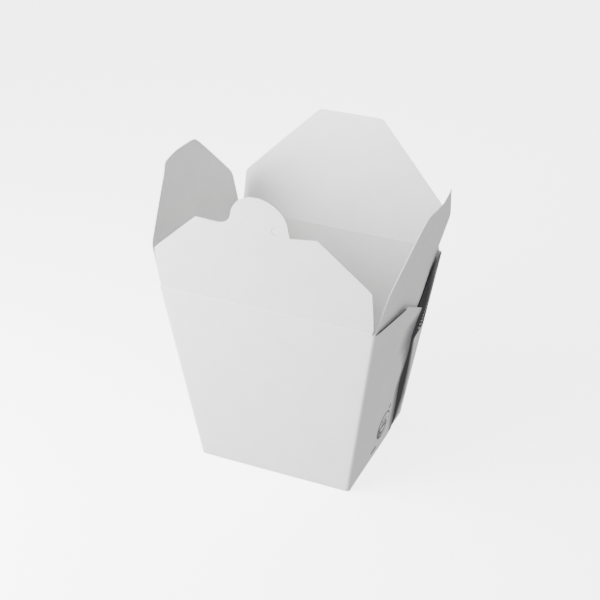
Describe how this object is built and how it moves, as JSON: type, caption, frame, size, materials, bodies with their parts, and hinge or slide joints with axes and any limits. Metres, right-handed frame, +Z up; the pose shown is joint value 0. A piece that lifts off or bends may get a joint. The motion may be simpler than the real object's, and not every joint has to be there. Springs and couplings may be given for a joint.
{
  "type": "noodle takeaway box",
  "caption": "Open tapered paperboard pail for noodles, with folded side webs and hinged top flaps, the front one with a round tab.",
  "frame": {"origin": "centre of the box's flat underside", "axes": "+X to the right seen from the front, +Y from the front wall with the tab towards the back wall, +Z up"},
  "size_m": [0.1348, 0.1158, 0.1623],
  "materials": {
    "board": "white coated paperboard with a satin face"
  },
  "bodies": {
    "box_body": {"box": "board"},
    "front_flap_body": {"front_flap": "board"},
    "back_flap_body": {"back_flap": "board"},
    "right_flap_body": {"right_flap": "board"},
    "left_flap_body": {"left_flap": "board"}
  },
  "joints": [
    {"name": "front_crease", "type": "hinge", "parent": "box_body", "child": "front_flap_body", "pos_m": [0, -0.0439, 0.0997], "axis": [1, 0, 0], "range_deg": [-94.5, 92]},
    {"name": "back_crease", "type": "hinge", "parent": "box_body", "child": "back_flap_body", "pos_m": [0, 0.0439, 0.099], "axis": [-1, 0, 0], "range_deg": [-106.1, 83.4]},
    {"name": "right_crease", "type": "hinge", "parent": "box_body", "child": "right_flap_body", "pos_m": [0.05425, 0, 0.0983], "axis": [0, 1, 0], "range_deg": [-108.7, 74.3]},
    {"name": "left_crease", "type": "hinge", "parent": "box_body", "child": "left_flap_body", "pos_m": [-0.05425, 0, 0.0983], "axis": [0, -1, 0], "range_deg": [-103.6, 79.4]}
  ]
}
